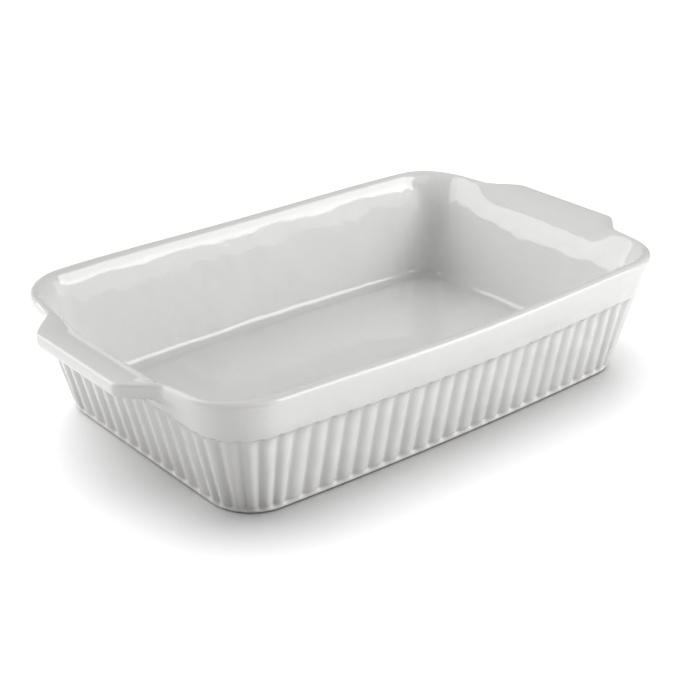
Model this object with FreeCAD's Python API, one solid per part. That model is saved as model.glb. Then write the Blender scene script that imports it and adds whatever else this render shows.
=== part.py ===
import FreeCAD, Part
import math
import os

# Lasagna dish: a rectangular stoneware baker with a fluted, tapering wall, a plain
# rim band, two lug handles drawn out of the end rims and a low foot ring.
# Lengths are in millimetres. +X runs from handle to handle, -Y is the front long side,
# +Z is up, and the origin is the middle of the plane that the foot stands on.
# The dish is fired in one piece. Each region of the moulding is a solid of its own, and
# neighbouring regions meet face to face.

# Rim, to the lines that the rounding of its edges starts from
rim_length = 340.0             # over the end rims, beside the lugs
rim_width = 227.0              # over the middles of the long rims
rim_corner_radius = 37.0
rim_side_radius = 2375.0       # the long rims bow gently outwards
dish_height = 76.2

# Wall, on the rib crests
end_wall_run = 11.9            # how far an end wall leans out from its foot to the band
side_wall_run = 9.3
foot_corner_radius = 28.0
foot_side_radius = 2450.0      # the long sides bow at the foot as well
wall_thickness_foot = 6.5      # rib crest to inside, at the floor
wall_thickness_band = 9.0      # rib crest to inside, under the band
cove_radius = 7.0              # between floor and walls

# Flutes
flute_depth = 1.6
rib_share = 0.66               # of each pitch; the groove takes the rest
side_rib_count = 22
end_rib_count = 11
corner_rib_count = 6
flute_lead = 1.5               # the corner flutes start this far before the corner

# Levels
recess_height = 1.5            # underside of the floor above the table
flute_foot = 3.0               # the flutes start above the plain foot ring
floor_top = 7.0

# Rim band section, as insets from the rim's outer line and drops below its top
band_height = 25.0             # the flutes end under it
band_foot_inset = 7.1
shoulder_inset = 4.7
shoulder_drop = 22.5
bulge_inset = 1.3
bulge_drop = 10.5
lip_thickness = 8.0
lip_inner_setback = 3.0
lip_outer_setback = 3.5
bulge_setback = 4.5
shoulder_setback = 1.8

# Lug handles
lug_reach = 20.0               # beyond the rim's outer line
lug_flare = 30.0               # S-shaped run from the straight edge back to the rim
lug_clearance = 7.2            # plain rim between a flare and the corner
lug_drop = 2.4                 # outer edge below the rim
lug_dip = 5.0                  # inner lip below the rim, so that the lug's top falls inwards
lug_edge_thickness = 9.2
lug_edge_undercut = 0.7
lug_edge_setback = 3.4
lug_shoulder_inset = 2.0
lug_shoulder_drop = 18.0
flare_round_share = 0.2        # of the flare, at each end of its straight flank
flare_step_count = 10

# Foot ring section, as insets from the rib crests
foot_set_in = 0.6
foot_edge_setback = 2.2
foot_bearing_inset = 9.0       # inner edge of the flat that stands on the table
foot_slope_inset = 10.5
foot_ring_inset = 14.0         # the floor plate starts here

cut_overrun = 4.0

Z_AXIS = FreeCAD.Vector(0, 0, 1)
ORIGIN = FreeCAD.Vector(0, 0, 0)


class Outline:
    """Plan of the dish at one level: bowed long sides, round corners and straight ends."""

    def __init__(self, length, width, corner_radius, side_radius):
        self.half_length = length / 2
        self.half_width = width / 2
        self.corner_radius = corner_radius
        self.side_radius = side_radius
        # The front side's arc is centred far behind the dish, on the Y axis.
        self.side_centre_y = side_radius - self.half_width
        self.corner_x = self.half_length - corner_radius
        reach = side_radius - corner_radius
        self.corner_y = self.side_centre_y - math.sqrt(reach ** 2 - self.corner_x ** 2)
        self.side_turn = math.degrees(math.asin(self.corner_x / reach))

    def front(self, x, inset, z):
        """Point on the front side at one place along it."""
        radius = self.side_radius - inset
        return FreeCAD.Vector(x, self.side_centre_y - math.sqrt(radius ** 2 - x ** 2), z)

    def corner(self, share, inset, z):
        """Point on the front right corner, from the front side (0) to the end (1)."""
        turn = math.radians((self.side_turn - 90) * (1 - share))
        radius = self.corner_radius - inset
        x = self.corner_x + radius * math.cos(turn)
        return FreeCAD.Vector(x, self.corner_y + radius * math.sin(turn), z)

    def end(self, y, inset, z):
        """Point on the right end at one place along it."""
        return FreeCAD.Vector(self.half_length - inset, y, z)

    def round_corner(self, share, inset, z, front_x, end_y):
        """Point on the way from the front at front_x (0), round the corner, to the end at end_y (1)."""
        tangent_x = self.corner(0, inset, z).x
        approach = tangent_x - front_x
        bend = (self.corner_radius - inset) * math.radians(90 - self.side_turn)
        leave = end_y - self.corner_y
        run = share * (approach + bend + leave)
        if run < approach:
            return self.front(front_x + run, inset, z)
        if run < approach + bend:
            return self.corner((run - approach) / bend, inset, z)
        return self.end(self.corner_y + run - approach - bend, inset, z)

    def corner_axis(self):
        """Centre of the front right corner."""
        return FreeCAD.Vector(self.corner_x, self.corner_y, 0)

    def side_axis(self):
        """Centre of the front side's arc."""
        return FreeCAD.Vector(0, self.side_centre_y, 0)

    def wire(self, inset, z):
        """Whole outline at one level, drawn in from the rim by the inset."""
        corner = [self.corner(share, inset, z) for share in (0, 0.5, 1)]
        opposite = FreeCAD.Vector(-corner[0].x, corner[0].y, z)
        front_edge = arc(opposite, self.front(0, inset, z), corner[0])
        corner_edge = arc(*corner)
        end_edge = line(corner[2], FreeCAD.Vector(corner[2].x, -corner[2].y, z))
        edges = [front_edge, corner_edge, end_edge]
        edges.append(mirrored(corner_edge, False, True))
        edges.append(mirrored(front_edge, False, True))
        edges.append(mirrored(corner_edge, True, True))
        edges.append(mirrored(end_edge, True, False))
        edges.append(mirrored(corner_edge, True, False))
        return Part.Wire(Part.__sortEdges__(edges))


def line(start, finish):
    """Straight edge between two points."""
    return Part.LineSegment(start, finish).toShape()


def arc(start, middle, finish):
    """Arc through three points."""
    return Part.Arc(start, middle, finish).toShape()


def mirrored(shape, across_x, across_y):
    """Copy of a shape, mirrored end for end and front to back as asked."""
    copy = shape.copy()
    if across_x:
        copy = copy.mirror(ORIGIN, FreeCAD.Vector(1, 0, 0))
    if across_y:
        copy = copy.mirror(ORIGIN, FreeCAD.Vector(0, 1, 0))
    return copy


def blend(start, finish, share):
    """Value between two values."""
    return start + (finish - start) * share


def rounded_wire(corners, setbacks):
    """Closed wire through the corners, each rounded by a tangent arc where it has a setback."""
    starts, finishes, arcs = [], [], []
    for index, corner in enumerate(corners):
        before = (corners[index - 1] - corner).normalize()
        after = (corners[(index + 1) % len(corners)] - corner).normalize()
        setback = setbacks[index]
        start = corner + before * setback
        finish = corner + after * setback
        starts.append(start)
        finishes.append(finish)
        if setback == 0:
            arcs.append(None)
            continue
        half_angle = before.getAngle(after) / 2
        bisector = (before + after).normalize()
        to_arc = setback / math.cos(half_angle) - setback * math.tan(half_angle)
        arcs.append(arc(start, corner + bisector * to_arc, finish))
    edges = []
    for index, rounding in enumerate(arcs):
        if rounding is not None:
            edges.append(rounding)
        edges.append(line(finishes[index], starts[(index + 1) % len(corners)]))
    return Part.Wire(edges)


foot_length = rim_length - 2 * (band_foot_inset + end_wall_run)
foot_width = rim_width - 2 * (band_foot_inset + side_wall_run)
rim = Outline(rim_length, rim_width, rim_corner_radius, rim_side_radius)
foot = Outline(foot_length, foot_width, foot_corner_radius, foot_side_radius)
band_foot = dish_height - band_height
band_inner_inset = band_foot_inset + wall_thickness_band

# The flutes of the sides and ends stand parallel, so each stretch is as wide at the band as at
# the foot, and the corner flutes fan out between them.
side_flutes_x = min(foot.corner_x, rim.corner_x) - flute_lead
end_flutes_y = max(foot.corner_y, rim.corner_y) + flute_lead


def band_wire(place, reach_share):
    """Rim band section, drawn out into a lug by the share of its reach.

    place turns an outward distance from the rim's outer line and a height into a point.
    """
    corners = (
        (-band_inner_inset, band_foot),
        (-lip_thickness, dish_height - blend(0, lug_dip, reach_share)),
        (blend(0, lug_reach, reach_share), dish_height - blend(0, lug_drop, reach_share)),
        (
            blend(-bulge_inset, lug_reach - lug_edge_undercut, reach_share),
            dish_height - blend(bulge_drop, lug_drop + lug_edge_thickness, reach_share),
        ),
        (
            blend(-shoulder_inset, -lug_shoulder_inset, reach_share),
            dish_height - blend(shoulder_drop, lug_shoulder_drop, reach_share),
        ),
        (-band_foot_inset, band_foot),
    )
    edge_setback = blend(bulge_setback, lug_edge_setback, reach_share)
    setbacks = (0, lip_inner_setback, lip_outer_setback, edge_setback, shoulder_setback, 0)
    return rounded_wire([place(*corner) for corner in corners], setbacks)


def foot_wire(place):
    """Foot ring section: rounded outer edge, flat to stand on and a slope up to the recess."""
    corners = (
        (-foot_set_in, flute_foot),
        (-foot_set_in, 0),
        (-foot_bearing_inset, 0),
        (-foot_slope_inset, recess_height),
        (-foot_ring_inset, recess_height),
        (-foot_ring_inset, flute_foot),
    )
    setbacks = (0, foot_edge_setback, 0, 0, 0, 0)
    return rounded_wire([place(*corner) for corner in corners], setbacks)


def end_place(outline, y):
    """Placing of a section across the right end at one distance along it."""
    return lambda out, z: FreeCAD.Vector(outline.half_length + out, y, z)


def front_place(outline):
    """Placing of a section across the middle of the front side."""
    return lambda out, z: FreeCAD.Vector(0, -outline.half_width - out, z)


def front_run(outline, wire):
    """Section carried along the front side's arc, from corner to corner."""
    face = Part.Face(wire)
    face.rotate(outline.side_axis(), Z_AXIS, -outline.side_turn)
    return face.revolve(outline.side_axis(), Z_AXIS, 2 * outline.side_turn)


def corner_run(outline, wire):
    """Section carried round the front right corner, from the end to the front side."""
    return Part.Face(wire).revolve(outline.corner_axis(), Z_AXIS, outline.side_turn - 90)


def end_run(outline, wire):
    """Section carried straight along the right end, from its front corner to its back corner."""
    return Part.Face(wire).extrude(FreeCAD.Vector(0, -2 * outline.corner_y, 0))


def drawn_out(share):
    """How far a lug is drawn out along its flare: a straight flank, rounded at both ends."""
    slope = 1 / (1 - flare_round_share)
    if share < flare_round_share:
        return 1 - slope * share ** 2 / (2 * flare_round_share)
    if share > 1 - flare_round_share:
        return slope * (1 - share) ** 2 / (2 * flare_round_share)
    return 1 - slope * (share - flare_round_share / 2)


def lug_handle():
    """Right end of the rim, drawn out into a lug with an S-shaped flare on each side."""
    flare_end = -rim.corner_y - lug_clearance
    half_straight = flare_end - lug_flare
    sections = []
    for step in range(flare_step_count + 1):
        share = step / flare_step_count
        sections.append(band_wire(end_place(rim, half_straight + lug_flare * share), drawn_out(share)))
    flare = Part.makeLoft(sections, True, False)
    middle = Part.Face(band_wire(end_place(rim, -half_straight), 1))
    plain = Part.Face(band_wire(end_place(rim, flare_end), 0))
    rim_end = plain.extrude(FreeCAD.Vector(0, lug_clearance, 0))
    solid = middle.extrude(FreeCAD.Vector(0, 2 * half_straight, 0))
    sides = [flare, rim_end, mirrored(flare, False, True), mirrored(rim_end, False, True)]
    return solid.fuse(sides).removeSplitter()


def flute_edges(point, ribs):
    """Ribs and grooves along one stretch of the wall, starting and ending in mid-groove.

    point gives the place at a share of the stretch and an inset from the rib crests.
    """
    groove_share = 1 - rib_share
    joint_depth = flute_depth * rib_share
    quarter_depth = flute_depth - (flute_depth - joint_depth) / 4
    edges = []
    for rib in range(ribs):
        def cell(share, inset):
            return point((rib + share) / ribs, inset)
        near_joint = cell(groove_share / 2, joint_depth)
        far_joint = cell(1 - groove_share / 2, joint_depth)
        edges.append(arc(cell(0, flute_depth), cell(groove_share / 4, quarter_depth), near_joint))
        edges.append(arc(near_joint, cell(0.5, 0), far_joint))
        edges.append(arc(far_joint, cell(1 - groove_share / 4, quarter_depth), cell(1, flute_depth)))
    return edges


def wall_blank(stretch, ribs, start_inward, finish_inward):
    """Fluted wall along one stretch, ruled from the foot to the band and thick on the inside.

    stretch gives the place on an outline at a share of the stretch, an inset and a height.
    """
    depth = foot_ring_inset + cut_overrun
    wires = []
    for outline, crest_inset, z in ((foot, 0, flute_foot), (rim, band_foot_inset, band_foot)):
        def point(share, inset):
            return stretch(outline, share, inset + crest_inset, z)
        edges = flute_edges(point, ribs)
        start = point(0, flute_depth)
        finish = point(1, flute_depth)
        inner_start = start + start_inward * depth
        inner_finish = finish + finish_inward * depth
        edges.append(line(finish, inner_finish))
        edges.append(line(inner_finish, inner_start))
        edges.append(line(inner_start, start))
        wires.append(Part.Wire(edges))
    return Part.makeLoft(wires, True, True)


def front_stretch(outline, share, inset, z):
    """Place along the front wall."""
    return outline.front(blend(-side_flutes_x, side_flutes_x, share), inset, z)


def corner_stretch(outline, share, inset, z):
    """Place round the front right corner, between the flutes of the front and of the end."""
    return outline.round_corner(share, inset, z, side_flutes_x, end_flutes_y)


def end_stretch(outline, share, inset, z):
    """Place along the right end wall."""
    return outline.end(blend(end_flutes_y, -end_flutes_y, share), inset, z)


def inside_core():
    """The space inside the walls, from the floor to the band, with the cove round its foot."""
    floor_wire = foot.wire(wall_thickness_foot, floor_top)
    band_wire_inside = rim.wire(band_inner_inset, band_foot)
    core = Part.makeLoft([floor_wire, band_wire_inside], True, True)
    floor_edges = [edge for edge in core.Edges if edge.BoundBox.ZMax - floor_top < cove_radius / 2]
    return core.makeFillet(cove_radius, floor_edges)


def floor_plate():
    """Floor between the feet of the walls, set up from the table."""
    face = Part.Face(foot.wire(foot_ring_inset, recess_height))
    return face.extrude(FreeCAD.Vector(0, 0, floor_top - recess_height))


def walls(core, floor):
    """Front wall, front right corner and right end wall."""
    back = FreeCAD.Vector(0, 1, 0)
    left = FreeCAD.Vector(-1, 0, 0)
    front = wall_blank(front_stretch, side_rib_count, back, back)
    corner = wall_blank(corner_stretch, corner_rib_count, back, left)
    end = wall_blank(end_stretch, end_rib_count, left, left)
    return [blank.cut([core, floor]) for blank in (front, corner, end)]


def export_set(prefix, front, corner, end):
    """Write a region's front, corner and end solids, with their mirror images."""
    if front is not None:
        front.exportStep(f"parts/{prefix}_front.step")
        mirrored(front, False, True).exportStep(f"parts/{prefix}_back.step")
    if end is not None:
        end.exportStep(f"parts/{prefix}_right.step")
        mirrored(end, True, False).exportStep(f"parts/{prefix}_left.step")
    if corner is not None:
        corner.exportStep(f"parts/{prefix}_front_right.step")
        mirrored(corner, True, False).exportStep(f"parts/{prefix}_front_left.step")
        mirrored(corner, False, True).exportStep(f"parts/{prefix}_back_right.step")
        mirrored(corner, True, True).exportStep(f"parts/{prefix}_back_left.step")


os.makedirs("parts", exist_ok=True)

plate = floor_plate()
plate.exportStep("parts/floor_plate.step")

foot_end_wire = foot_wire(end_place(foot, foot.corner_y))
export_set(
    "foot",
    front_run(foot, foot_wire(front_place(foot))),
    corner_run(foot, foot_end_wire),
    end_run(foot, foot_end_wire),
)

export_set("wall", *walls(inside_core(), plate))

rim_end_wire = band_wire(end_place(rim, rim.corner_y), 0)
export_set(
    "rim",
    front_run(rim, band_wire(front_place(rim), 0)),
    corner_run(rim, rim_end_wire),
    None,
)

export_set("handle", None, None, lug_handle())
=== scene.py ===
"""Dressed model of a white glazed lasagna dish with a fluted wall and two lug handles.

The dish is drawn as one continuous skin, row by row from the foot up the outside, over the lip
and down to the floor. The skin is then cut into the regions of the moulding. Sizes of the dish
are in millimetres here. Meshes, finishes, lamps and camera are in metres.
"""

import logging
import math
from dataclasses import dataclass, field
from enum import Enum
from typing import List, Sequence, Tuple, Union

import bpy
import numpy as np
from mathutils import Matrix, Vector


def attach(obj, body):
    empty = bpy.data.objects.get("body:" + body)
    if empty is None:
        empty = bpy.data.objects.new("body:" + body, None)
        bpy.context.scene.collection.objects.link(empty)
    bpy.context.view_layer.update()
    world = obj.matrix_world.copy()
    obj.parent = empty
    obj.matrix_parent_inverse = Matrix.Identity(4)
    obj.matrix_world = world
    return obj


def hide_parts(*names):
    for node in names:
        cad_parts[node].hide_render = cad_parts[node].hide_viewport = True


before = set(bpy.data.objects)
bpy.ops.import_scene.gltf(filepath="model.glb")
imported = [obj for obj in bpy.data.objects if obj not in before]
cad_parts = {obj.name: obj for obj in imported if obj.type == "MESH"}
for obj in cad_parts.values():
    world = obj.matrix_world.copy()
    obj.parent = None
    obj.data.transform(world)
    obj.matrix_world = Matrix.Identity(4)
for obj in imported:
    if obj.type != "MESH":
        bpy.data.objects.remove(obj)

LOG = logging.getLogger("lasagna_dish")
MILLIMETRE = 0.001
STEPS_PER_RIB = 12
SIDE_RIBS = 11
CORNER_RIBS = 6
END_RIBS = 5.5
QUARTER_RIBS = SIDE_RIBS + CORNER_RIBS + END_RIBS
SPLINE_DEGREE = 3
GLAZE_SLOT = "white_glaze"
CLAY_SLOT = "bare_foot"
THINNESS_LAYER = "glaze_thinness"

Row = np.ndarray
Pair = Tuple[float, float]
Place = Tuple[float, float, float]
Colour = Tuple[float, float, float, float]
Socket = bpy.types.NodeSocket


class Region(Enum):
    """Regions of the moulding, named as the solids are.

    Each has its first and last rib round the dish, and the steps by which the rim is cut past
    these ribs, because the band's own corners start elsewhere.
    """

    FRONT_RIGHT = ("front_right", 11, 17, 13, -8)
    RIGHT = ("right", 17, 28, -8, 8)
    BACK_RIGHT = ("back_right", 28, 34, 8, -13)
    BACK = ("back", 34, 56, -13, 13)
    BACK_LEFT = ("back_left", 56, 62, 13, -8)
    LEFT = ("left", 62, 73, -8, 8)
    FRONT_LEFT = ("front_left", 73, 79, 8, -13)
    FRONT = ("front", 79, 101, -13, 13)

    @property
    def label(self) -> str:
        """Name of the region in the solids' names."""
        return self.value[0]

    @property
    def has_lug(self) -> bool:
        """Whether the rim is drawn out into a lug here."""
        return self in (Region.LEFT, Region.RIGHT)

    def columns(self, total: int, on_rim: bool) -> np.ndarray:
        """Columns of the skin that the region covers.

        Args:
            total: Number of columns round the dish.
            on_rim: Whether the piece is cut from the rim band.

        Returns:
            Numbers of the columns, both edges included.
        """
        first, last = self.value[1] * STEPS_PER_RIB, self.value[2] * STEPS_PER_RIB
        if on_rim:
            first, last = first + self.value[3], last + self.value[4]
        return np.arange(first, last + 1) % total


def ease(value: np.ndarray) -> np.ndarray:
    """Smooth step from 0 to 1."""
    share = np.clip(value, 0.0, 1.0)
    return share * share * (3.0 - 2.0 * share)


def grey(level: float) -> Colour:
    """Grey colour of one level."""
    return (level, level, level, 1.0)


def spline_weights(count: int, samples: int) -> np.ndarray:
    """Weights of a clamped cubic B-spline.

    Args:
        count: Number of control points.
        samples: Number of points along the curve.

    Returns:
        Array of samples by control points.
    """
    inner = np.linspace(0.0, 1.0, count - SPLINE_DEGREE + 1)
    knots = np.concatenate(([0.0] * SPLINE_DEGREE, inner, [1.0] * SPLINE_DEGREE))
    places = np.linspace(0.0, 1.0, samples)
    weights = np.zeros((samples, len(knots) - 1))
    for span in range(len(knots) - 1):
        weights[:, span] = (places >= knots[span]) & (places < knots[span + 1])
    weights[-1, count - 1] = 1.0
    for degree in range(1, SPLINE_DEGREE + 1):
        raised = np.zeros((samples, weights.shape[1] - 1))
        for span in range(raised.shape[1]):
            last = knots[span + degree + 1]
            rise = knots[span + degree] - knots[span]
            fall = last - knots[span + 1]
            if rise > 0.0:
                raised[:, span] += (places - knots[span]) / rise * weights[:, span]
            if fall > 0.0:
                raised[:, span] += (last - places) / fall * weights[:, span + 1]
        weights = raised
    return weights


@dataclass(frozen=True)
class Ring:
    """Columns of the skin, counted in ribs from the middle of the front round to the right."""

    ribs: np.ndarray
    sign_x: np.ndarray
    sign_y: np.ndarray

    @staticmethod
    def whole() -> "Ring":
        """All columns round the dish.

        Returns:
            Four quarters, each the mirror image of the one before.
        """
        quarter = np.arange(round(QUARTER_RIBS * STEPS_PER_RIB)) / STEPS_PER_RIB
        reverse = QUARTER_RIBS - quarter
        ones = np.ones_like(quarter)
        return Ring(
            np.concatenate((quarter, reverse, quarter, reverse)),
            np.concatenate((ones, ones, -ones, -ones)),
            np.concatenate((ones, -ones, -ones, ones)),
        )

    @property
    def count(self) -> int:
        """Number of columns."""
        return len(self.ribs)

    def groove_share(self) -> np.ndarray:
        """Place across a rib, 0 on its crest and 1 in the middle of a groove."""
        return np.abs(2.0 * (self.ribs % 1.0) - 1.0)


@dataclass(frozen=True)
class Outline:
    """Plan of the dish at one level: bowed long sides, round corners and straight ends."""

    length: float
    width: float
    corner_radius: float
    side_radius: float

    @property
    def corner_x(self) -> float:
        """Distance of the corner's centre from the middle."""
        return self.length / 2 - self.corner_radius

    @property
    def side_centre_y(self) -> float:
        """Centre of the front side's arc."""
        return self.side_radius - self.width / 2

    @property
    def corner_y(self) -> float:
        """Distance of the corner's centre from the middle, negative at the front."""
        reach = self.side_radius - self.corner_radius
        return self.side_centre_y - math.sqrt(reach ** 2 - self.corner_x ** 2)

    @property
    def side_turn(self) -> float:
        """Angle through which half of a long side bows."""
        return math.asin(self.corner_x / (self.side_radius - self.corner_radius))

    def points(
        self, ring: Ring, inset: np.ndarray, side_x: float, end_y: float
    ) -> Tuple[np.ndarray, np.ndarray]:
        """Places of all columns in plan.

        Args:
            ring: Columns of the skin.
            inset: Distance in from the outline for each column.
            side_x: Half width of the stretch with parallel flutes on a long side.
            end_y: Front edge of the stretch with parallel flutes on an end.

        Returns:
            The x and y of each column.
        """
        inset = np.broadcast_to(np.asarray(inset, dtype=float), ring.ribs.shape)
        front_x = side_x * np.clip(ring.ribs / SIDE_RIBS, 0.0, 1.0)
        radius = self.corner_radius - inset
        approach = self.corner_x + radius * math.sin(self.side_turn) - side_x
        bend = radius * (math.pi / 2 - self.side_turn)
        leave = end_y - self.corner_y
        share = np.clip((ring.ribs - SIDE_RIBS) / CORNER_RIBS, 0.0, 1.0)
        run = share * (approach + bend + leave)
        bent = np.clip((run - approach) / bend, 0.0, 1.0)
        turn = (self.side_turn - math.pi / 2) * (1.0 - bent)
        along_front = front_x + np.minimum(run, approach)
        on_front = run <= approach
        x = np.where(on_front, along_front, self.corner_x + radius * np.cos(turn))
        side_reach = self.side_radius - inset
        front_y = self.side_centre_y - np.sqrt(side_reach ** 2 - along_front ** 2)
        end_run = np.maximum(run - approach - bend, 0.0)
        end_share = np.clip((ring.ribs - SIDE_RIBS - CORNER_RIBS) / END_RIBS, 0.0, 1.0)
        past_front = self.corner_y + radius * np.sin(turn) + end_run - end_y * end_share
        y = np.where(on_front, front_y, past_front)
        return ring.sign_x * x, ring.sign_y * y


@dataclass(frozen=True)
class Flutes:
    """Ribs and grooves of the wall."""

    depth: float = 1.9
    rib_share: float = 0.82
    foot: float = 0.6
    foot_fade: float = 4.6
    top_start: float = 49.2
    top_run: float = 2.9
    top_slant: float = 0.9

    def inset(self, ring: Ring, z: np.ndarray) -> np.ndarray:
        """How deep the skin lies under the rib crests.

        Args:
            ring: Columns of the skin.
            z: Height of each column's point.

        Returns:
            Depth for each column. A groove runs out softly at its foot and closes quickly under
            the band.
        """
        share = ring.groove_share()
        joint = self.depth * self.rib_share
        rib = joint * (share / self.rib_share) ** 2
        valley = ((1.0 - share) / (1.0 - self.rib_share)) ** 2
        groove = self.depth - (self.depth - joint) * valley
        full = np.where(share < self.rib_share, rib, groove)
        depth = full * ease((z - self.foot) / self.foot_fade)
        return depth * (1.0 - ease((z - self.top_start - self.top_slant * share) / self.top_run))


@dataclass(frozen=True)
class Moulding:
    """Sizes that the regions of the dish share, and the rows drawn from them."""

    rim: Outline = Outline(340.0, 227.0, 37.0, 2375.0)
    foot: Outline = Outline(302.0, 194.2, 28.0, 2450.0)
    flutes: Flutes = Flutes()
    recess_height: float = 1.5
    flute_foot: float = 3.0
    floor_top: float = 7.0
    waist_height: float = 46.7
    band_foot: float = 51.2
    band_foot_inset: float = 7.1
    wall_thickness_foot: float = 6.5
    wall_thickness_band: float = 9.0
    cove_radius: float = 7.0
    foot_set_in: float = 0.6
    foot_set_in_run: float = 3.0
    foot_ring_inset: float = 14.0
    floor_edge: float = 1.0
    flute_lead: float = 1.5
    sag: float = 1.66
    sag_reach: float = 130.0
    sag_start: float = 10.0
    sag_run: float = 50.0

    @property
    def side_x(self) -> float:
        """Half width of the parallel flutes on a long side."""
        return min(self.foot.corner_x, self.rim.corner_x) - self.flute_lead

    @property
    def end_y(self) -> float:
        """Front edge of the parallel flutes on an end."""
        return max(self.foot.corner_y, self.rim.corner_y) + self.flute_lead

    def rim_row(self, ring: Ring, inset: np.ndarray, z: np.ndarray) -> Row:
        """Row of points at an inset from the rim's outer line."""
        x, y = self.rim.points(ring, inset, self.side_x, self.end_y)
        return self.settle(np.stack((x, y, np.broadcast_to(z, x.shape)), axis=1))

    def foot_row(self, ring: Ring, inset: np.ndarray, z: np.ndarray) -> Row:
        """Row of points at an inset from the rib crests at the foot."""
        x, y = self.foot.points(ring, inset, self.side_x, self.end_y)
        return np.stack((x, y, np.broadcast_to(z, x.shape)), axis=1)

    def settle(self, points: Row) -> Row:
        """Let a row down where the long rims sagged a little in the kiln.

        Args:
            points: Row as it was moulded.

        Returns:
            Row as it was fired.
        """
        along = np.clip(1.0 - (points[:, 0] / self.sag_reach) ** 2, 0.0, 1.0) ** 2
        settled = points.copy()
        settled[:, 2] -= self.sag * along * ease((points[:, 2] - self.sag_start) / self.sag_run)
        return settled

    def wall_row(self, ring: Ring, z: float) -> Row:
        """Row of points on the fluted outside, ruled from the foot to the band.

        Args:
            ring: Columns of the skin.
            z: Height of the row.

        Returns:
            The row's points.
        """
        share = (z - self.flute_foot) / (self.band_foot - self.flute_foot)
        level = np.full(ring.count, z)
        set_in = 1.0 - ease((level - self.flute_foot) / self.foot_set_in_run)
        inset = self.flutes.inset(ring, level) + self.foot_set_in * set_in
        low = np.stack(self.foot.points(ring, inset, self.side_x, self.end_y), axis=1)
        high_inset = inset + self.band_foot_inset
        high = np.stack(self.rim.points(ring, high_inset, self.side_x, self.end_y), axis=1)
        plan = low + (high - low) * share
        return self.settle(np.column_stack((plan, level)))


@dataclass(frozen=True)
class FootRing:
    """Low ring that the dish stands on, wiped bare of glaze on its flat.

    The section and the skirt above it are insets from the rib crests, each with its height.
    """

    moulding: Moulding
    section: Sequence[Pair] = (
        (14.0, 1.5), (12.0, 1.5), (10.7, 1.5), (10.4, 1.4), (9.7, 0.7), (9.2, 0.12), (8.9, 0.0),
        (8.4, 0.0), (6.0, 0.0), (3.6, 0.0), (3.0, 0.0), (2.2, 0.1), (1.6, 0.35), (1.1, 0.8),
    )
    skirt: Sequence[Pair] = (
        (0.9, 1.15), (0.8, 1.45), (0.72, 1.8), (0.66, 2.2), (0.62, 2.6), (0.6, 3.0),
    )

    def rows(self, ring: Ring) -> List[Row]:
        """Rows of the ring as far as the wall.

        Args:
            ring: Columns of the skin.

        Returns:
            Rows from the recess under the floor, across the flat and up the skirt, where the
            grooves run out.
        """
        m = self.moulding
        rows = [m.foot_row(ring, inset, z) for inset, z in self.section]
        for inset, z in self.skirt:
            grooves = m.flutes.inset(ring, np.full(ring.count, z))
            rows.append(m.foot_row(ring, inset + grooves, z))
        return rows

    def closing_row(self, ring: Ring) -> Row:
        """Hidden row that closes the ring's section at the floor plate."""
        m = self.moulding
        return m.foot_row(ring, m.foot_ring_inset, m.flute_foot)


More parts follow.
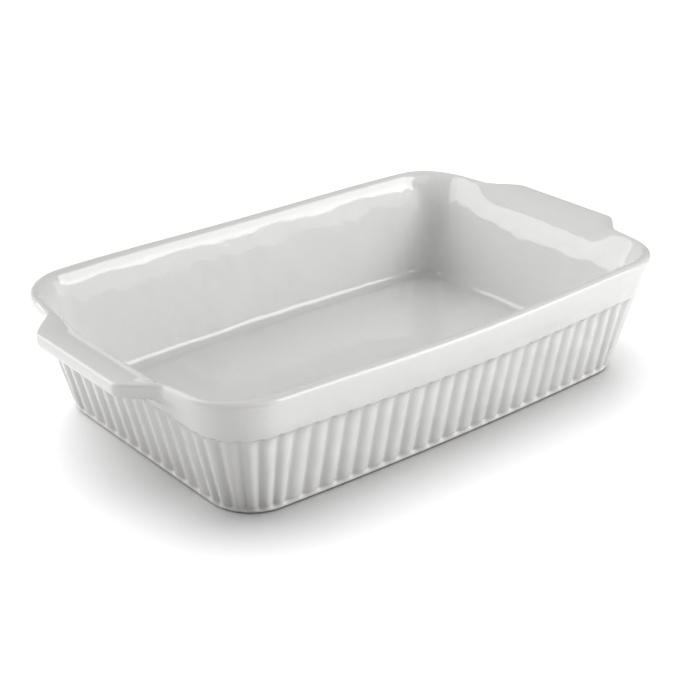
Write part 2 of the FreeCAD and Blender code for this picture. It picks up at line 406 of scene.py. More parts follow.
@dataclass(frozen=True)
class FlutedWall:
    """Tapering wall: fluted outside, smooth inside and coved into the floor."""

    moulding: Moulding
    outside_steps: int = 22
    outside_crowding: float = 1.7
    inside_steps: int = 7
    cove_steps: int = 7
    inward_step: float = 1.0

    def outside_rows(self, ring: Ring) -> List[Row]:
        """Rows up the outside, from the foot ring to the waist under the band.

        Args:
            ring: Columns of the skin.

        Returns:
            Rows that lie closer together towards the foot, where the grooves run out.
        """
        low, high = self.moulding.flute_foot, self.moulding.waist_height
        shares = np.linspace(0.0, 1.0, self.outside_steps + 1)
        heights = low + (high - low) * shares ** self.outside_crowding
        return [self.moulding.wall_row(ring, float(z)) for z in heights]

    def inside_rows(self, ring: Ring) -> List[Row]:
        """Rows down the inside, round the cove and on to the floor.

        Args:
            ring: Columns of the skin.

        Returns:
            Rows from under the band's foot to the edge of the floor plate.
        """
        m = self.moulding
        base = m.foot_row(ring, m.wall_thickness_foot, m.floor_top)
        inner = m.foot_row(ring, m.wall_thickness_foot + self.inward_step, m.floor_top)
        top_inset = m.band_foot_inset + m.wall_thickness_band
        x, y = m.rim.points(ring, top_inset, m.side_x, m.end_y)
        top = np.stack((x, y, np.full(ring.count, m.band_foot)), axis=1)
        inward = inner - base
        inward /= np.linalg.norm(inward, axis=1)[:, None]
        climb = m.band_foot - m.floor_top
        lean = -np.sum((top - base) * inward, axis=1) / climb
        sideways = (top - base) + inward * (lean * climb)[:, None]
        sideways[:, 2] = 0.0
        slant = np.sqrt(1.0 + lean ** 2)
        centre = m.cove_radius * (slant - lean)
        tangent = m.cove_radius * (1.0 - lean / slant)
        rows = []
        for share in np.linspace(0.0, 1.0, self.inside_steps + 1)[1:-1]:
            rise = climb + (tangent - climb) * share
            rows.append(self._inside(base, inward, sideways, -lean * rise, rise, climb))
        first = math.pi + np.arctan(lean)
        for share in np.linspace(0.0, 1.0, self.cove_steps + 1):
            turn = first + (1.5 * math.pi - first) * share
            away = centre + m.cove_radius * np.cos(turn)
            rise = m.cove_radius * (1.0 + np.sin(turn))
            rows.append(self._inside(base, inward, sideways, away, rise, climb))
        rows.append(m.foot_row(ring, m.foot_ring_inset - m.floor_edge, m.floor_top))
        rows.append(m.foot_row(ring, m.foot_ring_inset, m.floor_top))
        return rows

    def _inside(
        self,
        base: Row,
        inward: Row,
        sideways: Row,
        away: np.ndarray,
        rise: np.ndarray,
        climb: float,
    ) -> Row:
        """Row at a distance inward from the wall's foot line and a rise above the floor.

        Args:
            base: Foot line of the inside.
            inward: Unit vectors towards the middle.
            sideways: How far each column drifts along the wall up to the band.
            away: Distance inward for each column.
            rise: Height above the floor for each column.
            climb: Height of the band's foot above the floor.

        Returns:
            The row's points.
        """
        rise = np.broadcast_to(rise, away.shape)
        points = base + inward * away[:, None] + sideways * (rise / climb)[:, None]
        points[:, 2] += rise
        return self.moulding.settle(points)


@dataclass(frozen=True)
class RimBand:
    """Plain band round the rim, with its rounded lip and the two lugs drawn out of the ends.

    Flare, tail, dip and roll are distances from the middle of an end at which a change starts
    and is full. The three sections give control points from the waist over the lip to the
    inside: the distance out from the rim's outer line, and the height.
    """

    moulding: Moulding
    flare: Pair = (60.0, 37.0)
    tail: Pair = (82.0, 46.0)
    tail_part: float = 0.2
    dip: Pair = (78.0, 30.0)
    roll: Pair = (108.0, 84.0)
    dip_points: Tuple[int, ...] = (14, 15, 16, 17)
    samples: int = 76
    plain: Sequence[Pair] = (
        (-8.2, 46.7), (-7.6, 48.7), (-6.6, 50.6), (-5.2, 52.1), (-4.65, 53.9),
        (-3.9, 56.5), (-3.1, 59.5), (-2.4, 62.2), (-1.75, 65.2), (-1.15, 68.2),
        (-0.6, 71.2), (-0.42, 72.6), (-1.0, 74.4), (-2.5, 75.9), (-4.5, 76.35),
        (-6.9, 75.3), (-9.1, 72.0), (-12.4, 64.8), (-15.0, 57.0), (-16.1, 51.2),
    )
    end: Sequence[Pair] = (
        (-8.2, 46.7), (-7.6, 48.7), (-6.6, 50.6), (-5.2, 52.1), (-4.65, 53.9),
        (-3.9, 56.5), (-3.1, 59.5), (-2.4, 62.2), (-1.8, 65.0), (-1.2, 67.8),
        (-0.65, 70.6), (-0.45, 71.9), (-0.9, 73.7), (-2.3, 75.2), (-4.1, 74.8),
        (-6.5, 71.8), (-9.2, 67.6), (-12.4, 62.4), (-15.0, 56.5), (-16.1, 51.2),
    )
    lug: Sequence[Pair] = (
        (-8.2, 46.7), (-7.6, 48.7), (-6.5, 50.6), (-5.2, 52.3), (-4.3, 54.4),
        (-3.4, 57.0), (-2.2, 59.6), (1.5, 61.2), (8.5, 62.7), (15.5, 64.2),
        (19.15, 65.6), (19.85, 69.5), (19.5, 74.1), (15.5, 74.2), (8.0, 72.9),
        (0.0, 70.3), (-6.5, 66.4), (-11.5, 61.2), (-15.0, 56.0), (-16.1, 51.2),
    )

    def share(self, ring: Ring, stretch: Pair) -> np.ndarray:
        """Smooth share from 0 to 1 over a stretch along the ends, for each column.

        Args:
            ring: Columns of the skin.
            stretch: Distances from the middle of an end where the share starts and is full.

        Returns:
            The share of each column.
        """
        m = self.moulding
        along = np.abs(m.rim.points(ring, 0.0, m.side_x, m.end_y)[1])
        return ease((stretch[0] - along) / (stretch[0] - stretch[1]))

    def drawn_share(self, ring: Ring) -> np.ndarray:
        """How far the lugs are drawn out at each column, the thin tail of their flare included."""
        flare, tail = self.share(ring, self.flare), self.share(ring, self.tail)
        return (1.0 - self.tail_part) * flare + self.tail_part * tail

    def rows(self, ring: Ring) -> List[Row]:
        """Rows of the band, from the waist to the band's foot inside.

        Args:
            ring: Columns of the skin.

        Returns:
            Rows up the band, over the lip and down the inside.
        """
        plain, end, lug = (np.asarray(points) for points in (self.plain, self.end, self.lug))
        dipped, rolled = self.share(ring, self.dip), self.share(ring, self.roll)
        lip = plain + rolled[:, None, None] * (end - plain)
        control = lip + self.drawn_share(ring)[:, None, None] * (lug - end)
        low = list(self.dip_points)
        control[:, low, 1] = lip[:, low, 1] + dipped[:, None] * (lug - end)[low, 1]
        section = np.einsum("tm,nmk->tnk", spline_weights(len(plain), self.samples), control)
        rows = []
        for index, line in enumerate(section):
            inset = -line[:, 0]
            if index < self.samples // 2:
                inset = inset + self.moulding.flutes.inset(ring, line[:, 1])
            rows.append(self.moulding.rim_row(ring, inset, line[:, 1]))
        return rows


@dataclass(frozen=True)
class FloorPlate:
    """Floor between the feet of the walls, glazed above and below."""

    moulding: Moulding
    shares: Sequence[float] = (1.0, 0.97, 0.88, 0.7, 0.45, 0.2)

    def rings(self, ring: Ring, z: float) -> List[Row]:
        """Rings of one side of the plate.

        Args:
            ring: Columns of the skin.
            z: Height of that side.

        Returns:
            Rings from the foot of the walls to near the middle.
        """
        edge = self.moulding.foot_row(ring, self.moulding.foot_ring_inset, z)
        rings = []
        for share in self.shares:
            scaled = edge * share
            scaled[:, 2] = z
            rings.append(scaled)
        return rings


class Sum(Enum):
    """Sums that a maths node works out."""

    PLUS = "ADD"
    MINUS = "SUBTRACT"
    TIMES = "MULTIPLY"
    TIMES_PLUS = "MULTIPLY_ADD"
    LARGER = "MAXIMUM"


class NodeSheet:
    """Nodes of a finish or of the surroundings."""

    def __init__(self, tree: bpy.types.NodeTree) -> None:
        """Keep the tree that the nodes go into.

        Args:
            tree: Node tree to add to.
        """
        self.tree = tree

    def add(self, kind: str) -> bpy.types.Node:
        """New node of one kind."""
        return self.tree.nodes.new(kind)

    def find(self, kind: str) -> bpy.types.Node:
        """First node of one kind that is there."""
        return next(node for node in self.tree.nodes if node.type == kind)

    def join(self, output: Socket, target: Socket) -> None:
        """Link two sockets."""
        self.tree.links.new(output, target)

    def maths(self, kind: Sum, first: Socket, *others: Union[float, Socket]) -> Socket:
        """Sum of varying values.

        Args:
            kind: Kind of sum.
            first: First input.
            others: Number or output for each further input.

        Returns:
            The output with the result.
        """
        node = self.add("ShaderNodeMath")
        node.operation = kind.value
        self.join(first, node.inputs[0])
        for socket, entry in zip(node.inputs[1:], others):
            if isinstance(entry, (int, float)):
                socket.default_value = entry
            else:
                self.join(entry, socket)
        return node.outputs[0]

    def spread(self, value: Socket, old: Pair, new: Pair = (0.0, 1.0)) -> Socket:
        """Value moved from one range to another.

        Args:
            value: Output that varies.
            old: Values at which the new range starts and ends.
            new: First and last value of the new range.

        Returns:
            The output with the new value.
        """
        node = self.add("ShaderNodeMapRange")
        names = ("From Min", "From Max", "To Min", "To Max")
        for name, number in zip(names, old + new):
            node.inputs[name].default_value = number
        self.join(value, node.inputs["Value"])
        return node.outputs[0]

    def seen(self) -> Socket:
        """Find what is looked at.

        Returns:
            Output that is 1 for what the camera, a reflection or a see-through surface sees.
        """
        path = self.add("ShaderNodeLightPath")
        value = path.outputs["Is Camera Ray"]
        for name in ("Is Glossy Ray", "Is Transmission Ray"):
            value = self.maths(Sum.LARGER, value, path.outputs[name])
        return value


class FinishNodes(NodeSheet):
    """Nodes of one finish, in the dish's own coordinates."""

    def __init__(self, name: str) -> None:
        """Start a plain finish.

        Args:
            name: Name of the material.
        """
        self.material = bpy.data.materials.new(name)
        self.material.use_nodes = True
        super().__init__(self.material.node_tree)
        self.shader = self.find("BSDF_PRINCIPLED")
        self.where = self.add("ShaderNodeTexCoord").outputs["Object"]

    def link(self, output: Socket, name: str) -> None:
        """Link an output to a socket of the shader."""
        self.join(output, self.shader.inputs[name])

    def height(self) -> Socket:
        """Height above what the dish stands on.

        Returns:
            The output with the height.
        """
        node = self.add("ShaderNodeSeparateXYZ")
        self.join(self.where, node.inputs[0])
        return node.outputs["Z"]

    def noise(self, scale: float, detail: float) -> Socket:
        """Noise that fills the dish.

        Args:
            scale: How fine the noise is.
            detail: How many finer noises are added to it.

        Returns:
            The output with the noise.
        """
        node = self.add("ShaderNodeTexNoise")
        node.inputs["Scale"].default_value = scale
        node.inputs["Detail"].default_value = detail
        self.join(self.where, node.inputs["Vector"])
        return node.outputs["Fac"]

    def ramp(self, value: Socket, ends: Pair, colours: Tuple[Colour, Colour]) -> Socket:
        """Colour that changes with a value.

        Args:
            value: Output that varies.
            ends: Values at which the change starts and ends.
            colours: Colour at each end.

        Returns:
            The output with the colour.
        """
        node = self.add("ShaderNodeValToRGB")
        for element, position, colour in zip(node.color_ramp.elements, ends, colours):
            element.position = position
            element.color = colour
        self.join(value, node.inputs["Fac"])
        return node.outputs["Color"]

    def mix(self, share: Socket, first: Socket, second: Colour) -> Socket:
        """Mix of a varying colour with a plain one.

        Args:
            share: Output with the plain colour's share.
            first: Output with the varying colour.
            second: Plain colour.

        Returns:
            The output with the mixed colour.
        """
        node = self.add("ShaderNodeMix")
        node.data_type = "RGBA"
        colours = [socket for socket in node.inputs if socket.type == "RGBA"]
        self.join(share, node.inputs[0])
        self.join(first, colours[0])
        colours[1].default_value = second
        return next(socket for socket in node.outputs if socket.type == "RGBA")

    def bump(self, height: Socket, strength: float, distance: float) -> None:
        """Bump on the shader's normal.

        Args:
            height: Output with the height.
            strength: Share of the bump that shows.
            distance: Height of the bump where the output is 1.
        """
        node = self.add("ShaderNodeBump")
        node.inputs["Strength"].default_value = strength
        node.inputs["Distance"].default_value = distance
        self.join(height, node.inputs["Height"])
        self.link(node.outputs["Normal"], "Normal")


@dataclass(frozen=True)
class WhiteGlaze:
    """High-gloss white glaze, a little thinner and warmer on ribs and edges.

    A noise is given by its scale and detail. The glaze lies in gentle waves, which are weaker
    on the rim and on the floor.
    """

    thick: Colour = (0.80, 0.80, 0.79, 1.0)
    thin: Colour = (0.78, 0.775, 0.76, 1.0)
    tint_ends: Pair = (0.15, 1.0)
    drift_noise: Pair = (9.0, 3.0)
    drift_part: float = 0.35
    drift_shift: float = -0.1
    mottle_noise: Pair = (160.0, 4.0)
    mottle_part: float = 0.2
    gloss_ends: Pair = (0.3, 0.7)
    roughness: Pair = (0.03, 0.07)
    ior: float = 1.52
    wave_noise: Pair = (28.0, 2.0)
    wave_middle: float = 0.5
    peel_noise: Pair = (420.0, 2.0)
    peel_part: float = 0.015
    rim_heights: Pair = (0.057, 0.069)
    rim_calm: float = 0.85
    floor_heights: Pair = (0.0072, 0.016)
    floor_waves: float = 0.3
    bump_strength: float = 0.6
    bump_height: float = 0.005

    def material(self) -> bpy.types.Material:
        """Lay out the glaze.

        Returns:
            The new material.
        """
        nodes = FinishNodes(GLAZE_SLOT)
        drift = nodes.noise(*self.drift_noise)
        nodes.link(self.tint(nodes, drift), "Base Color")
        gloss = (grey(self.roughness[0]), grey(self.roughness[1]))
        nodes.link(nodes.ramp(drift, self.gloss_ends, gloss), "Roughness")
        nodes.bump(self.relief(nodes), self.bump_strength, self.bump_height)
        nodes.shader.inputs["IOR"].default_value = self.ior
        return nodes.material

    def tint(self, nodes: FinishNodes, drift: Socket) -> Socket:
        """Colour of the glaze by how thin it lies.

        Args:
            nodes: Nodes of the finish.
            drift: Output with the slow drift of its thickness.

        Returns:
            The output with the colour.
        """
        thinness = nodes.add("ShaderNodeAttribute")
        thinness.attribute_name = THINNESS_LAYER
        drifted = nodes.maths(Sum.TIMES_PLUS, drift, self.drift_part, self.drift_shift)
        amount = nodes.maths(Sum.PLUS, thinness.outputs["Fac"], drifted)
        mottle = nodes.noise(*self.mottle_noise)
        mottled = nodes.maths(Sum.TIMES_PLUS, mottle, self.mottle_part, amount)
        return nodes.ramp(mottled, self.tint_ends, (self.thick, self.thin))

    def relief(self, nodes: FinishNodes) -> Socket:
        """Waves of the glaze with a fine peel on them.

        Args:
            nodes: Nodes of the finish.

        Returns:
            The output with the height.
        """
        height = nodes.height()
        swell = nodes.maths(Sum.MINUS, nodes.noise(*self.wave_noise), self.wave_middle)
        rim = nodes.spread(height, self.rim_heights)
        below_rim = nodes.maths(Sum.TIMES_PLUS, rim, -self.rim_calm, 1.0)
        wall = nodes.spread(height, self.floor_heights)
        off_floor = nodes.maths(Sum.TIMES_PLUS, wall, 1.0 - self.floor_waves, self.floor_waves)
        eased = nodes.maths(Sum.TIMES, swell, nodes.maths(Sum.TIMES, below_rim, off_floor))
        peel = nodes.noise(*self.peel_noise)
        return nodes.maths(Sum.TIMES_PLUS, peel, self.peel_part, eased)


@dataclass(frozen=True)
class BareClay:
    """Matt fired clay of the foot's flat, with the ragged edge of the glaze above it.

    A noise is given by its scale and detail.
    """

    clay: Colour = (0.62, 0.55, 0.45, 1.0)
    grain: Colour = (0.50, 0.43, 0.34, 1.0)
    glaze: Colour = (0.79, 0.785, 0.77, 1.0)
    speck_noise: Pair = (900.0, 5.0)
    smear_noise: Pair = (40.0, 3.0)
    smear_part: float = 0.5
    grain_ends: Pair = (0.55, 0.85)
    edge_heights: Pair = (0.0008, 0.0013)
    edge_drift: float = 0.0012
    roughness: Pair = (0.8, 0.1)
    bump_strength: float = 0.3
    bump_height: float = 0.0002

    def material(self) -> bpy.types.Material:
        """Lay out the clay and the glaze above it.

        Returns:
            The new material.
        """
        nodes = FinishNodes(CLAY_SLOT)
        specks = nodes.noise(*self.speck_noise)
        smears = nodes.noise(*self.smear_noise)
        both = nodes.maths(Sum.TIMES_PLUS, smears, self.smear_part, specks)
        body = nodes.ramp(both, self.grain_ends, (self.grain, self.clay))
        ragged = nodes.maths(Sum.TIMES_PLUS, smears, self.edge_drift, nodes.height())
        glazed = nodes.spread(ragged, self.edge_heights)
        nodes.link(nodes.mix(glazed, body, self.glaze), "Base Color")
        nodes.link(nodes.spread(glazed, (0.0, 1.0), self.roughness), "Roughness")
        nodes.bump(specks, self.bump_strength, self.bump_height)
        return nodes.material


@dataclass
class Skin:
    """Whole surface of the dish as a grid of rows and columns, with its normals."""

    moulding: Moulding
    ring: Ring = field(default_factory=Ring.whole)
    slip_past_band_foot: float = 1.5
    thin_bend: float = 0.4
    points: np.ndarray = field(init=False)
    normals: np.ndarray = field(init=False)
    thinness: np.ndarray = field(init=False)
    foot_rows: int = field(init=False)
    band_row: int = field(init=False)
    inside_row: int = field(init=False)

    def __post_init__(self) -> None:
        """Draw the rows in order and work out the normals."""
        m = self.moulding
        foot = FootRing(m).rows(self.ring)
        wall = FlutedWall(m)
        outside = wall.outside_rows(self.ring)
        rim = RimBand(m).rows(self.ring)
        rim_outside = rim[: len(rim) // 2]
        slip = outside[-1] - rim[0]
        slip_run = m.band_foot - m.waist_height + self.slip_past_band_foot
        for row in rim_outside:
            fade = 1.0 - ease((row[:, 2] - m.waist_height) / slip_run)
            row += slip * fade[:, None]
        rows = foot + outside[1:] + rim[1:]
        self.foot_rows = len(foot) - 1
        self.inside_row = len(rows) - 1
        first_rim = len(foot) + len(outside) - 2
        heights = np.asarray([row[STEPS_PER_RIB * SIDE_RIBS, 2] for row in rim_outside])
        self.band_row = first_rim + int(np.argmin(np.abs(heights - m.band_foot)))
        rows += wall.inside_rows(self.ring)
        self.points = np.stack(rows)
        self._find_normals()
        self._find_thinness()

    def _find_normals(self) -> None:
        """Normals from the differences between neighbouring rows and columns."""
        along = np.roll(self.points, -1, axis=1) - np.roll(self.points, 1, axis=1)
        up = np.empty_like(self.points)
        before = self.points[1:-1] - self.points[:-2]
        after = self.points[2:] - self.points[1:-1]
        before /= np.linalg.norm(before, axis=2)[..., None]
        after /= np.linalg.norm(after, axis=2)[..., None]
        up[1:-1] = before + after
        up[0] = self.points[1] - self.points[0]
        up[-1] = self.points[-1] - self.points[-2]
        normals = np.cross(along, up)
        self.normals = normals / np.linalg.norm(normals, axis=2)[..., None]

    def _find_thinness(self) -> None:
        """How thin the glaze lies, from how sharply the surface turns outwards."""
        ahead = np.roll(self.points, -1, axis=1) - self.points
        behind = self.points - np.roll(self.points, 1, axis=1)
        bend = self._turn(ahead, behind, self.normals)
        steps = self.points[1:] - self.points[:-1]
        bend[1:-1] += self._turn(steps[1:], steps[:-1], self.normals[1:-1])
        self.thinness = np.clip(bend / self.thin_bend, 0.0, 1.0)

    @staticmethod
    def _turn(ahead: np.ndarray, behind: np.ndarray, normals: np.ndarray) -> np.ndarray:
        """Curvature of a line through three neighbours.

        Args:
            ahead: Steps to the next point.
            behind: Steps from the last point.
            normals: Normals of the points.

        Returns:
            Curvature at each point, positive on a ridge.
        """
        far = np.linalg.norm(ahead, axis=2)
        near = np.linalg.norm(behind, axis=2)
        change = ahead / far[..., None] - behind / near[..., None]
        return -2.0 * np.sum(change * normals, axis=2) / (far + near)


@dataclass(frozen=True)
class Loop:
    """Closed section loop of a region: rows of the skin and hidden rows that close it."""

    points: np.ndarray
    normals: np.ndarray
    thinness: np.ndarray

    @staticmethod
    def of(skin: Skin, rows: Sequence[int], hidden: Sequence[Row] = ()) -> "Loop":
        """Loop from rows of the skin.

        Args:
            skin: Whole surface.
            rows: Numbers of the visible rows in order.
            hidden: Rows inside the clay that close the loop.

        Returns:
            The loop.
        """
        points, normals, thinness = skin.points[rows], skin.normals[rows], skin.thinness[rows]
        for row in hidden:
            upright = np.tile((0.0, 0.0, 1.0), (len(row), 1))
            points = np.concatenate((points, row[None]))
            normals = np.concatenate((normals, upright[None]))
            thinness = np.concatenate((thinness, np.zeros((1, len(row)))))
        return Loop(points, normals, thinness)

    def piece(self, name: str, region: Region, on_rim: bool = False) -> bpy.types.Object:
        """Closed piece of the loop along one region.

        Args:
            name: Name of the piece.
            region: Region that it covers.
            on_rim: Whether the piece is cut from the rim band.

        Returns:
            The new object.
        """
        columns = region.columns(self.points.shape[1], on_rim)
        points = self.points[:, columns].reshape(-1, 3)
        normals = self.normals[:, columns].reshape(-1, 3)
        thinness = self.thinness[:, columns].reshape(-1)
        rows, width = self.points.shape[0], len(columns)
        place = np.arange(rows * width).reshape(rows, width)
        after = np.roll(place, -1, axis=0)
        quads = np.stack((place[:, :-1], place[:, 1:], after[:, 1:], after[:, :-1]), axis=-1)
        faces = quads.reshape(-1, 4).tolist()
        faces.append(place[:, 0].tolist())
        faces.append(place[::-1, -1].tolist())
        return solid_piece(name, points, normals, thinness, faces)


def solid_piece(
    name: str,
    points: np.ndarray,
    normals: np.ndarray,
    thinness: np.ndarray,
    faces: List[List[int]],
) -> bpy.types.Object:
    """Mesh object with the skin's own normals.

    Args:
        name: Name of the piece.
        points: Places of the vertices in millimetres.
        normals: Normals of the vertices.
        thinness: Thinness of the glaze at the vertices.
        faces: Vertex numbers of each face.

    Returns:
        The new object.
    """
    mesh = bpy.data.meshes.new(name)
    mesh.from_pydata((points * MILLIMETRE).tolist(), [], faces)
    mesh.update()
    mesh.polygons.foreach_set("use_smooth", [True] * len(mesh.polygons))
    mesh.normals_split_custom_set_from_vertices(normals.tolist())
    layer = mesh.attributes.new(THINNESS_LAYER, "FLOAT", "POINT")
    layer.data.foreach_set("value", thinness.astype(np.float32))
    piece = bpy.data.objects.new(name, mesh)
    bpy.context.scene.collection.objects.link(piece)
    return piece


@dataclass
class Dish:
    """The dressed dish: floor, foot ring, fluted wall, rim band and lugs."""

    skin: Skin
    glaze: bpy.types.Material
    clay: bpy.types.Material

    def build(self) -> None:
        """Make every piece and dress it."""
        self.floor()
        foot, wall, rim = self.foot_loop(), self.wall_loop(), self.rim_loop()
        for region in Region:
            label = region.label
            ring = foot.piece(f"foot_ring_{label}", region)
            self.dress(ring, f"foot_{label}", self.clay)
            side = wall.piece(f"fluted_wall_{label}", region)
            self.dress(side, f"wall_{label}", self.glaze)
            form, solid = ("lug", "handle") if region.has_lug else ("rim_band", "rim")
            band = rim.piece(f"{form}_{label}", region, True)
            self.dress(band, f"{solid}_{label}", self.glaze)

    def foot_loop(self) -> Loop:
        """Section of the foot ring."""
        hidden = FootRing(self.skin.moulding).closing_row(self.skin.ring)
        return Loop.of(self.skin, range(self.skin.foot_rows + 1), (hidden,))

    def wall_loop(self) -> Loop:
        """Section of the wall.

        Returns:
            Loop up the outside to the band and down the inside to the floor.
        """
        outside = list(range(self.skin.foot_rows, self.skin.band_row + 1))
        inside = list(range(self.skin.inside_row, len(self.skin.points)))
        hidden = FootRing(self.skin.moulding).closing_row(self.skin.ring)
        return Loop.of(self.skin, outside + inside, (hidden,))

    def rim_loop(self) -> Loop:
        """Section of the rim band or of a lug."""
        return Loop.of(self.skin, range(self.skin.band_row, self.skin.inside_row + 1))

    def floor(self) -> None:
        """Floor plate, with the glazed recess under it."""
        moulding, ring = self.skin.moulding, self.skin.ring
        plate = FloorPlate(moulding)
        top = plate.rings(ring, moulding.floor_top)
        under = plate.rings(ring, moulding.recess_height)
        sheets = np.concatenate((np.stack(under[::-1]), np.stack(top)))
        rows, width = sheets.shape[:2]
        place = np.arange(rows * width).reshape(rows, width)
        right = np.roll(place, -1, axis=1)
        quads = np.stack((place[:-1], right[:-1], right[1:], place[1:]), axis=-1)
        faces = quads.reshape(-1, 4).tolist()
        middles = ((0.0, 0.0, moulding.recess_height), (0.0, 0.0, moulding.floor_top))
        points = np.concatenate((sheets.reshape(-1, 3), middles))
        under_middle, top_middle = len(points) - 2, len(points) - 1
        for column in range(width):
            faces.append([place[0, column], under_middle, right[0, column]])
            faces.append([place[-1, column], right[-1, column], top_middle])
        side = np.where(points[:, 2] > moulding.flute_foot, 1.0, -1.0)
        normals = np.stack((np.zeros_like(side), np.zeros_like(side), side), axis=1)
        piece = solid_piece("floor", points, normals, np.zeros(len(points)), faces)
        self.dress(piece, "floor_plate", self.glaze)

    def dress(
        self, piece: bpy.types.Object, node: str, finish: bpy.types.Material
    ) -> None:
        """Give a piece its finish and say which solid it stands for.

        Args:
            piece: New object.
            node: Solid that it replaces.
            finish: Material.
        """
        piece.data.materials.append(finish)
        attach(piece, "root")
        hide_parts(node)
        LOG.info("%s: %d faces, for %s", piece.name, len(piece.data.polygons), node)


class Lit(Enum):
    """What a lamp lights: all but the floor, or only the floor."""

    DISH = "EXCLUDE"
    FLOOR = "INCLUDE"

    def hang(self, lamp: bpy.types.Light, stance: Matrix, floor: bpy.types.Object) -> None:
        """Put a lamp into the scene that lights only what this names.

        Args:
            lamp: Lamp to hang.
            stance: Where it hangs and how it is turned.
            floor: Studio floor.
        """
        holder = bpy.data.objects.new(lamp.name, lamp)
        holder.matrix_world = stance
        bpy.context.scene.collection.objects.link(holder)
        receivers = bpy.data.collections.new(f"{holder.name}_receivers")
        receivers.objects.link(floor)
        holder.light_linking.receiver_collection = receivers
        receivers.collection_objects[0].light_linking.link_state = self.value


@dataclass(frozen=True)
class SoftBox:
    """One rectangular studio lamp on the dish, in metres and watts."""

    name: str
    place: Place
    aim: Place
    width: float
    height: float
    power: float

    def hang(self, floor: bpy.types.Object) -> None:
        """Put the lamp into the scene.

        Args:
            floor: Studio floor, which is lit apart from the dish.
        """
        lamp = bpy.data.lights.new(self.name, "AREA")
        lamp.shape = "RECTANGLE"
        lamp.size = self.width
        lamp.size_y = self.height
        lamp.energy = self.power
        toward = Vector(self.aim) - Vector(self.place)
        turned = toward.to_track_quat("-Z", "Y").to_matrix().to_4x4()
        Lit.DISH.hang(lamp, Matrix.Translation(self.place) @ turned, floor)


@dataclass(frozen=True)
class SoftSky:
    """Wide, even light on the floor alone, with its spread in degrees."""

    name: str = "floor_sky"
    source: Place = (0.16, 0.34, 1.0)
    spread: float = 84.0
    strength: float = 4.4

    def hang(self, floor: bpy.types.Object) -> None:
        """Put the light into the scene.

        Args:
            floor: Studio floor, which is lit apart from the dish.
        """
        lamp = bpy.data.lights.new(self.name, "SUN")
        lamp.angle = math.radians(self.spread)
        lamp.energy = self.strength
        turned = Vector(self.source).to_track_quat("Z", "Y").to_matrix().to_4x4()
        Lit.FLOOR.hang(lamp, turned, floor)


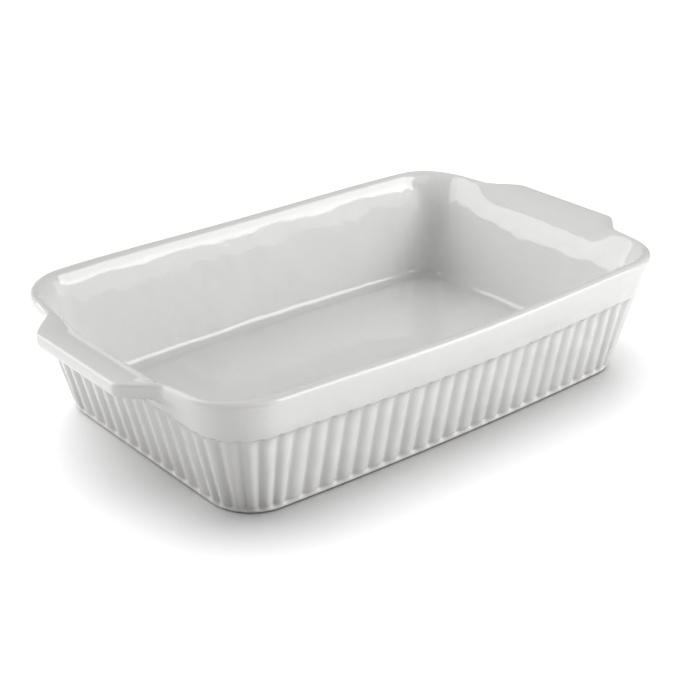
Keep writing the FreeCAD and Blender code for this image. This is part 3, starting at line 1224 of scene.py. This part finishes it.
@dataclass(frozen=True)
class Studio:
    """Camera, lamps, white surroundings and floor."""

    lens: float = 79.435
    sensor: float = 36.0
    azimuth: float = -39.627
    elevation: float = 25.298
    stand: Place = (-0.532384, -0.633946, 0.418294)
    bright_side: Place = (-0.55, 0.83, 0.0)
    turning: float = -0.35
    dim: float = 0.02
    bright: float = 0.55
    shown: float = 1.4
    floor_reach: float = 6.0
    floor_seen: float = 0.93
    floor_bounce: float = 0.53
    floor_noise: Pair = (6.0, 2.0)
    floor_noise_part: float = 0.02
    floor_roughness: float = 0.9
    boxes: Sequence[SoftBox] = (
        SoftBox("front_right_low_box", (1.1, -1.4, 0.42), (0.0, 0.0, 0.05), 2.5, 0.8, 11.5),
        SoftBox("front_right_high_box", (0.9, -1.1, 0.95), (0.0, 0.0, 0.03), 1.0, 0.8, 14.0),
        SoftBox("front_high_box", (0.1, -1.1, 1.2), (0.0, 0.0, 0.03), 1.0, 0.8, 3.0),
        SoftBox("back_left_box", (-1.15, 1.2, 0.95), (0.05, 0.0, 0.06), 1.6, 1.8, 26.0),
    )
    sky: SoftSky = SoftSky()

    def build(self) -> None:
        """Set the whole studio up."""
        self.place_camera()
        floor = self.floor()
        for box in self.boxes:
            box.hang(floor)
        self.sky.hang(floor)
        self.surroundings()
        bpy.context.scene.view_settings.view_transform = "Standard"

    def place_camera(self) -> None:
        """Camera at the photograph's viewing angle."""
        turn, tilt = math.radians(self.azimuth), math.radians(self.elevation)
        level = math.cos(tilt)
        back = Vector((math.sin(turn) * level, -math.cos(turn) * level, math.sin(tilt)))
        right = Vector((math.cos(turn), math.sin(turn), 0.0))
        up = back.cross(right)
        turned = Matrix((right, up, back)).transposed().to_4x4()
        data = bpy.data.cameras.new("camera")
        data.lens = self.lens
        data.sensor_width = self.sensor
        camera = bpy.data.objects.new("camera", data)
        camera.matrix_world = Matrix.Translation(self.stand) @ turned
        bpy.context.scene.collection.objects.link(camera)
        bpy.context.scene.camera = camera

    def surroundings(self) -> None:
        """Plain surroundings, brighter on one side, and white where seen past the floor."""
        world = bpy.data.worlds.new("white_surroundings")
        world.use_nodes = True
        nodes = NodeSheet(world.node_tree)
        background = nodes.find("BACKGROUND")
        background.inputs["Color"].default_value = grey(1.0)
        side = nodes.add("ShaderNodeVectorMath")
        side.operation = "DOT_PRODUCT"
        side.inputs[1].default_value = self.bright_side
        nodes.join(nodes.add("ShaderNodeTexCoord").outputs["Generated"], side.inputs[0])
        toward = side.outputs["Value"]
        level = nodes.spread(toward, (self.turning, 1.0), (self.dim, self.bright))
        gain = nodes.spread(nodes.seen(), (0.0, 1.0), (1.0, self.shown))
        strength = nodes.maths(Sum.TIMES, level, gain)
        camera = nodes.add("ShaderNodeLightPath").outputs["Is Camera Ray"]
        nodes.join(nodes.maths(Sum.LARGER, strength, camera), background.inputs["Strength"])
        bpy.context.scene.world = world

    def floor(self) -> bpy.types.Object:
        """White floor that keeps the dish's shadow and throws little light back at the dish.

        Returns:
            The new object.
        """
        reach = self.floor_reach
        near = [(-reach, -reach, 0.0), (reach, -reach, 0.0)]
        far = [(reach, reach, 0.0), (-reach, reach, 0.0)]
        mesh = bpy.data.meshes.new("studio_floor")
        mesh.from_pydata(near + far, [], [(0, 1, 2, 3)])
        sheet = bpy.data.objects.new("studio_floor", mesh)
        bpy.context.scene.collection.objects.link(sheet)
        nodes = FinishNodes("white_floor")
        level = nodes.spread(nodes.seen(), (0.0, 1.0), (self.floor_bounce, self.floor_seen))
        grain = nodes.noise(*self.floor_noise)
        tint = nodes.maths(Sum.TIMES_PLUS, grain, self.floor_noise_part, level)
        nodes.link(tint, "Base Color")
        nodes.shader.inputs["Roughness"].default_value = self.floor_roughness
        nodes.shader.inputs["Specular IOR Level"].default_value = 0.0
        mesh.materials.append(nodes.material)
        return sheet


def main() -> None:
    """Build the dish and its studio, and report each piece."""
    logging.basicConfig(level=logging.INFO, format="%(name)s: %(message)s")
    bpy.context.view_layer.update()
    Dish(Skin(Moulding()), WhiteGlaze().material(), BareClay().material()).build()
    Studio().build()


if __name__ == "__main__":
    main()
